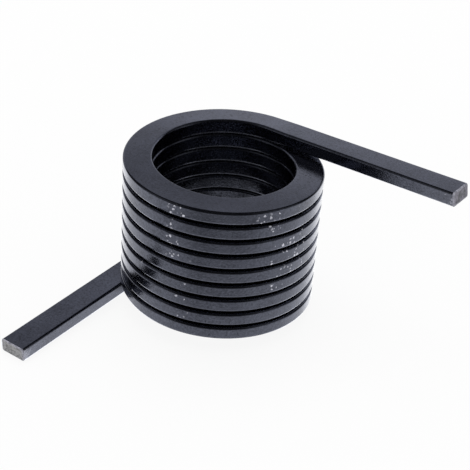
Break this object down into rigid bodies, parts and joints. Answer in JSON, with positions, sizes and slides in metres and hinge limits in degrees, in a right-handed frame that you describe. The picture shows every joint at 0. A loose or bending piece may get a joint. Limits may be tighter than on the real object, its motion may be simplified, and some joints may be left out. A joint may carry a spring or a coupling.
{
  "type": "torsion spring",
  "caption": "Torsion spring coiled on edge from flat rectangular wire, with straight legs leaving the coil at right angles to each other.",
  "frame": {"origin": "on the coil's axis, level with the middle of the wire where the lower leg leaves the coil", "axes": "+Z along the coil's axis, towards the upper leg's end of the coil; +X the way the upper leg points; -Y the way the lower leg points"},
  "size_m": [0.0874, 0.0861, 0.0492],
  "materials": {
    "torsion_spring": "gloss"
  },
  "bodies": {
    "root": {"torsion_spring": "torsion_spring"}
  },
  "joints": []
}
